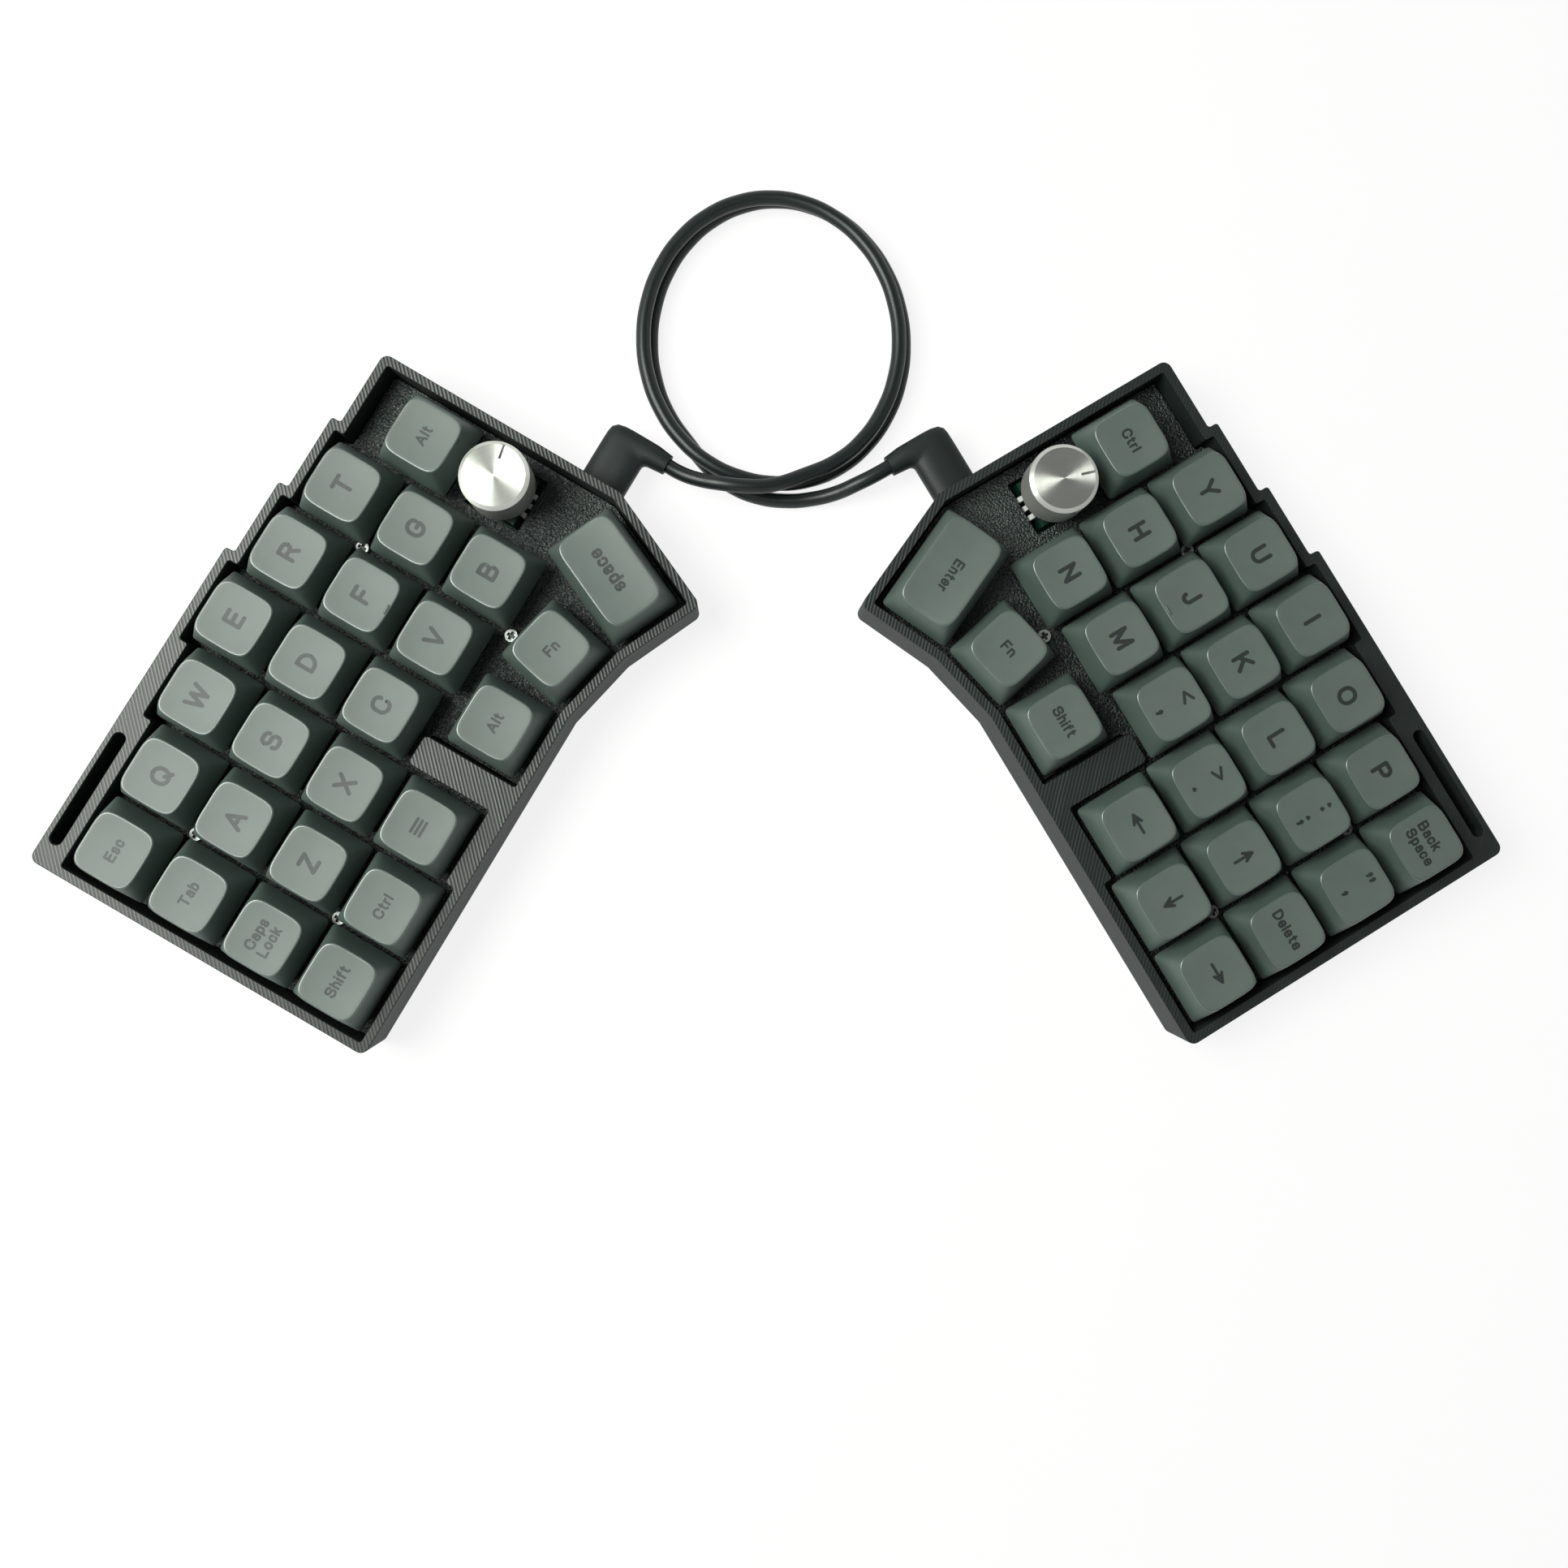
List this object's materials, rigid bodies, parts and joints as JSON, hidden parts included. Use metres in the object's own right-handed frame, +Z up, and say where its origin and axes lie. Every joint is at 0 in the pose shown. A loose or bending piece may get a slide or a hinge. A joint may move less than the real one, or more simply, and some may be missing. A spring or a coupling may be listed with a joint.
{
  "type": "split keyboard",
  "caption": "Split ergonomic keyboard: two mirrored trays with sprung keys in stepped columns, fanned thumb keys and a rotary knob, joined by a coiled link cable.",
  "frame": {"origin": "middle of the box round the two halves, on the desk", "axes": "+X to the right-hand half, +Y away from the typist, +Z up from the desk"},
  "size_m": [0.337, 0.2059, 0.0286],
  "materials": {
    "caps_left": "fine-grained matte moulding",
    "caps_right": "fine-grained matte moulding",
    "knob": "turned, spun top and polished edge",
    "tray": "layer-printed charcoal",
    "plate": "pebbled black",
    "board": "green solder mask",
    "switch": "moulded black",
    "screw": "bright cross-head",
    "plug": "satin over-moulding",
    "cable": "smooth satin jacket"
  },
  "bodies": {
    "halves": {"left_case": "tray", "right_case": "tray", "switch_plates": "plate", "circuit_boards": "board", "switch_housings": "switch", "plate_screws": "screw", "link_plugs": "plug", "link_cable": "cable"},
    "esc": {"key_esc": "caps_left"},
    "q": {"key_q": "caps_left"},
    "w": {"key_w": "caps_left"},
    "e": {"key_e": "caps_left"},
    "r": {"key_r": "caps_left"},
    "t": {"key_t": "caps_left"},
    "tab": {"key_tab": "caps_left"},
    "a": {"key_a": "caps_left"},
    "s": {"key_s": "caps_left"},
    "d": {"key_d": "caps_left"},
    "f": {"key_f": "caps_left"},
    "g": {"key_g": "caps_left"},
    "caps_lock": {"key_caps_lock": "caps_left"},
    "z": {"key_z": "caps_left"},
    "x": {"key_x": "caps_left"},
    "c": {"key_c": "caps_left"},
    "v": {"key_v": "caps_left"},
    "b": {"key_b": "caps_left"},
    "left_shift": {"key_left_shift": "caps_left"},
    "left_ctrl": {"key_left_ctrl": "caps_left"},
    "menu": {"key_menu": "caps_left"},
    "left_inner_alt": {"key_left_inner_alt": "caps_left"},
    "left_thumb_alt": {"key_left_thumb_alt": "caps_left"},
    "left_fn": {"key_left_fn": "caps_left"},
    "space": {"key_space": "caps_left"},
    "backspace": {"key_backspace": "caps_right"},
    "p": {"key_p": "caps_right"},
    "o": {"key_o": "caps_right"},
    "i": {"key_i": "caps_right"},
    "u": {"key_u": "caps_right"},
    "y": {"key_y": "caps_right"},
    "quote": {"key_quote": "caps_right"},
    "semicolon": {"key_semicolon": "caps_right"},
    "l": {"key_l": "caps_right"},
    "k": {"key_k": "caps_right"},
    "j": {"key_j": "caps_right"},
    "h": {"key_h": "caps_right"},
    "delete": {"key_delete": "caps_right"},
    "arrow_up": {"key_arrow_up": "caps_right"},
    "period": {"key_period": "caps_right"},
    "comma": {"key_comma": "caps_right"},
    "m": {"key_m": "caps_right"},
    "n": {"key_n": "caps_right"},
    "arrow_right": {"key_arrow_right": "caps_right"},
    "arrow_down": {"key_arrow_down": "caps_right"},
    "arrow_left": {"key_arrow_left": "caps_right"},
    "right_inner_ctrl": {"key_right_inner_ctrl": "caps_right"},
    "right_thumb_shift": {"key_right_thumb_shift": "caps_right"},
    "right_fn": {"key_right_fn": "caps_right"},
    "enter": {"key_enter": "caps_right"},
    "left_dial": {"left_knob": "knob"},
    "right_dial": {"right_knob": "knob"}
  },
  "joints": [
    {"name": "esc_press", "type": "slide", "parent": "halves", "child": "esc", "axis": [0, 0, -1], "range_m": [0, 0.004], "stiffness_N_per_m": 60, "springref_m": -0.006},
    {"name": "q_press", "type": "slide", "parent": "halves", "child": "q", "axis": [0, 0, -1], "range_m": [0, 0.004], "stiffness_N_per_m": 60, "springref_m": -0.006},
    {"name": "w_press", "type": "slide", "parent": "halves", "child": "w", "axis": [0, 0, -1], "range_m": [0, 0.004], "stiffness_N_per_m": 60, "springref_m": -0.006},
    {"name": "e_press", "type": "slide", "parent": "halves", "child": "e", "axis": [0, 0, -1], "range_m": [0, 0.004], "stiffness_N_per_m": 60, "springref_m": -0.006},
    {"name": "r_press", "type": "slide", "parent": "halves", "child": "r", "axis": [0, 0, -1], "range_m": [0, 0.004], "stiffness_N_per_m": 60, "springref_m": -0.006},
    {"name": "t_press", "type": "slide", "parent": "halves", "child": "t", "axis": [0, 0, -1], "range_m": [0, 0.004], "stiffness_N_per_m": 60, "springref_m": -0.006},
    {"name": "tab_press", "type": "slide", "parent": "halves", "child": "tab", "axis": [0, 0, -1], "range_m": [0, 0.004], "stiffness_N_per_m": 60, "springref_m": -0.006},
    {"name": "a_press", "type": "slide", "parent": "halves", "child": "a", "axis": [0, 0, -1], "range_m": [0, 0.004], "stiffness_N_per_m": 60, "springref_m": -0.006},
    {"name": "s_press", "type": "slide", "parent": "halves", "child": "s", "axis": [0, 0, -1], "range_m": [0, 0.004], "stiffness_N_per_m": 60, "springref_m": -0.006},
    {"name": "d_press", "type": "slide", "parent": "halves", "child": "d", "axis": [0, 0, -1], "range_m": [0, 0.004], "stiffness_N_per_m": 60, "springref_m": -0.006},
    {"name": "f_press", "type": "slide", "parent": "halves", "child": "f", "axis": [0, 0, -1], "range_m": [0, 0.004], "stiffness_N_per_m": 60, "springref_m": -0.006},
    {"name": "g_press", "type": "slide", "parent": "halves", "child": "g", "axis": [0, 0, -1], "range_m": [0, 0.004], "stiffness_N_per_m": 60, "springref_m": -0.006},
    {"name": "caps_lock_press", "type": "slide", "parent": "halves", "child": "caps_lock", "axis": [0, 0, -1], "range_m": [0, 0.004], "stiffness_N_per_m": 60, "springref_m": -0.006},
    {"name": "z_press", "type": "slide", "parent": "halves", "child": "z", "axis": [0, 0, -1], "range_m": [0, 0.004], "stiffness_N_per_m": 60, "springref_m": -0.006},
    {"name": "x_press", "type": "slide", "parent": "halves", "child": "x", "axis": [0, 0, -1], "range_m": [0, 0.004], "stiffness_N_per_m": 60, "springref_m": -0.006},
    {"name": "c_press", "type": "slide", "parent": "halves", "child": "c", "axis": [0, 0, -1], "range_m": [0, 0.004], "stiffness_N_per_m": 60, "springref_m": -0.006},
    {"name": "v_press", "type": "slide", "parent": "halves", "child": "v", "axis": [0, 0, -1], "range_m": [0, 0.004], "stiffness_N_per_m": 60, "springref_m": -0.006},
    {"name": "b_press", "type": "slide", "parent": "halves", "child": "b", "axis": [0, 0, -1], "range_m": [0, 0.004], "stiffness_N_per_m": 60, "springref_m": -0.006},
    {"name": "left_shift_press", "type": "slide", "parent": "halves", "child": "left_shift", "axis": [0, 0, -1], "range_m": [0, 0.004], "stiffness_N_per_m": 60, "springref_m": -0.006},
    {"name": "left_ctrl_press", "type": "slide", "parent": "halves", "child": "left_ctrl", "axis": [0, 0, -1], "range_m": [0, 0.004], "stiffness_N_per_m": 60, "springref_m": -0.006},
    {"name": "menu_press", "type": "slide", "parent": "halves", "child": "menu", "axis": [0, 0, -1], "range_m": [0, 0.004], "stiffness_N_per_m": 60, "springref_m": -0.006},
    {"name": "left_inner_alt_press", "type": "slide", "parent": "halves", "child": "left_inner_alt", "axis": [0, 0, -1], "range_m": [0, 0.004], "stiffness_N_per_m": 60, "springref_m": -0.006},
    {"name": "left_thumb_alt_press", "type": "slide", "parent": "halves", "child": "left_thumb_alt", "axis": [0, 0, -1], "range_m": [0, 0.004], "stiffness_N_per_m": 60, "springref_m": -0.006},
    {"name": "left_fn_press", "type": "slide", "parent": "halves", "child": "left_fn", "axis": [0, 0, -1], "range_m": [0, 0.004], "stiffness_N_per_m": 60, "springref_m": -0.006},
    {"name": "space_press", "type": "slide", "parent": "halves", "child": "space", "axis": [0, 0, -1], "range_m": [0, 0.004], "stiffness_N_per_m": 60, "springref_m": -0.006},
    {"name": "backspace_press", "type": "slide", "parent": "halves", "child": "backspace", "axis": [0, 0, -1], "range_m": [0, 0.004], "stiffness_N_per_m": 60, "springref_m": -0.006},
    {"name": "p_press", "type": "slide", "parent": "halves", "child": "p", "axis": [0, 0, -1], "range_m": [0, 0.004], "stiffness_N_per_m": 60, "springref_m": -0.006},
    {"name": "o_press", "type": "slide", "parent": "halves", "child": "o", "axis": [0, 0, -1], "range_m": [0, 0.004], "stiffness_N_per_m": 60, "springref_m": -0.006},
    {"name": "i_press", "type": "slide", "parent": "halves", "child": "i", "axis": [0, 0, -1], "range_m": [0, 0.004], "stiffness_N_per_m": 60, "springref_m": -0.006},
    {"name": "u_press", "type": "slide", "parent": "halves", "child": "u", "axis": [0, 0, -1], "range_m": [0, 0.004], "stiffness_N_per_m": 60, "springref_m": -0.006},
    {"name": "y_press", "type": "slide", "parent": "halves", "child": "y", "axis": [0, 0, -1], "range_m": [0, 0.004], "stiffness_N_per_m": 60, "springref_m": -0.006},
    {"name": "quote_press", "type": "slide", "parent": "halves", "child": "quote", "axis": [0, 0, -1], "range_m": [0, 0.004], "stiffness_N_per_m": 60, "springref_m": -0.006},
    {"name": "semicolon_press", "type": "slide", "parent": "halves", "child": "semicolon", "axis": [0, 0, -1], "range_m": [0, 0.004], "stiffness_N_per_m": 60, "springref_m": -0.006},
    {"name": "l_press", "type": "slide", "parent": "halves", "child": "l", "axis": [0, 0, -1], "range_m": [0, 0.004], "stiffness_N_per_m": 60, "springref_m": -0.006},
    {"name": "k_press", "type": "slide", "parent": "halves", "child": "k", "axis": [0, 0, -1], "range_m": [0, 0.004], "stiffness_N_per_m": 60, "springref_m": -0.006},
    {"name": "j_press", "type": "slide", "parent": "halves", "child": "j", "axis": [0, 0, -1], "range_m": [0, 0.004], "stiffness_N_per_m": 60, "springref_m": -0.006},
    {"name": "h_press", "type": "slide", "parent": "halves", "child": "h", "axis": [0, 0, -1], "range_m": [0, 0.004], "stiffness_N_per_m": 60, "springref_m": -0.006},
    {"name": "delete_press", "type": "slide", "parent": "halves", "child": "delete", "axis": [0, 0, -1], "range_m": [0, 0.004], "stiffness_N_per_m": 60, "springref_m": -0.006},
    {"name": "arrow_up_press", "type": "slide", "parent": "halves", "child": "arrow_up", "axis": [0, 0, -1], "range_m": [0, 0.004], "stiffness_N_per_m": 60, "springref_m": -0.006},
    {"name": "period_press", "type": "slide", "parent": "halves", "child": "period", "axis": [0, 0, -1], "range_m": [0, 0.004], "stiffness_N_per_m": 60, "springref_m": -0.006},
    {"name": "comma_press", "type": "slide", "parent": "halves", "child": "comma", "axis": [0, 0, -1], "range_m": [0, 0.004], "stiffness_N_per_m": 60, "springref_m": -0.006},
    {"name": "m_press", "type": "slide", "parent": "halves", "child": "m", "axis": [0, 0, -1], "range_m": [0, 0.004], "stiffness_N_per_m": 60, "springref_m": -0.006},
    {"name": "n_press", "type": "slide", "parent": "halves", "child": "n", "axis": [0, 0, -1], "range_m": [0, 0.004], "stiffness_N_per_m": 60, "springref_m": -0.006},
    {"name": "arrow_right_press", "type": "slide", "parent": "halves", "child": "arrow_right", "axis": [0, 0, -1], "range_m": [0, 0.004], "stiffness_N_per_m": 60, "springref_m": -0.006},
    {"name": "arrow_down_press", "type": "slide", "parent": "halves", "child": "arrow_down", "axis": [0, 0, -1], "range_m": [0, 0.004], "stiffness_N_per_m": 60, "springref_m": -0.006},
    {"name": "arrow_left_press", "type": "slide", "parent": "halves", "child": "arrow_left", "axis": [0, 0, -1], "range_m": [0, 0.004], "stiffness_N_per_m": 60, "springref_m": -0.006},
    {"name": "right_inner_ctrl_press", "type": "slide", "parent": "halves", "child": "right_inner_ctrl", "axis": [0, 0, -1], "range_m": [0, 0.004], "stiffness_N_per_m": 60, "springref_m": -0.006},
    {"name": "right_thumb_shift_press", "type": "slide", "parent": "halves", "child": "right_thumb_shift", "axis": [0, 0, -1], "range_m": [0, 0.004], "stiffness_N_per_m": 60, "springref_m": -0.006},
    {"name": "right_fn_press", "type": "slide", "parent": "halves", "child": "right_fn", "axis": [0, 0, -1], "range_m": [0, 0.004], "stiffness_N_per_m": 60, "springref_m": -0.006},
    {"name": "enter_press", "type": "slide", "parent": "halves", "child": "enter", "axis": [0, 0, -1], "range_m": [0, 0.004], "stiffness_N_per_m": 60, "springref_m": -0.006},
    {"name": "left_dial_turn", "type": "hinge", "parent": "halves", "child": "left_dial", "pos_m": [-0.06473, 0.04972, 0.0223], "axis": [0, 0, 1], "continuous": true},
    {"name": "right_dial_turn", "type": "hinge", "parent": "halves", "child": "right_dial", "pos_m": [0.06473, 0.04972, 0.0223], "axis": [0, 0, 1], "continuous": true}
  ]
}
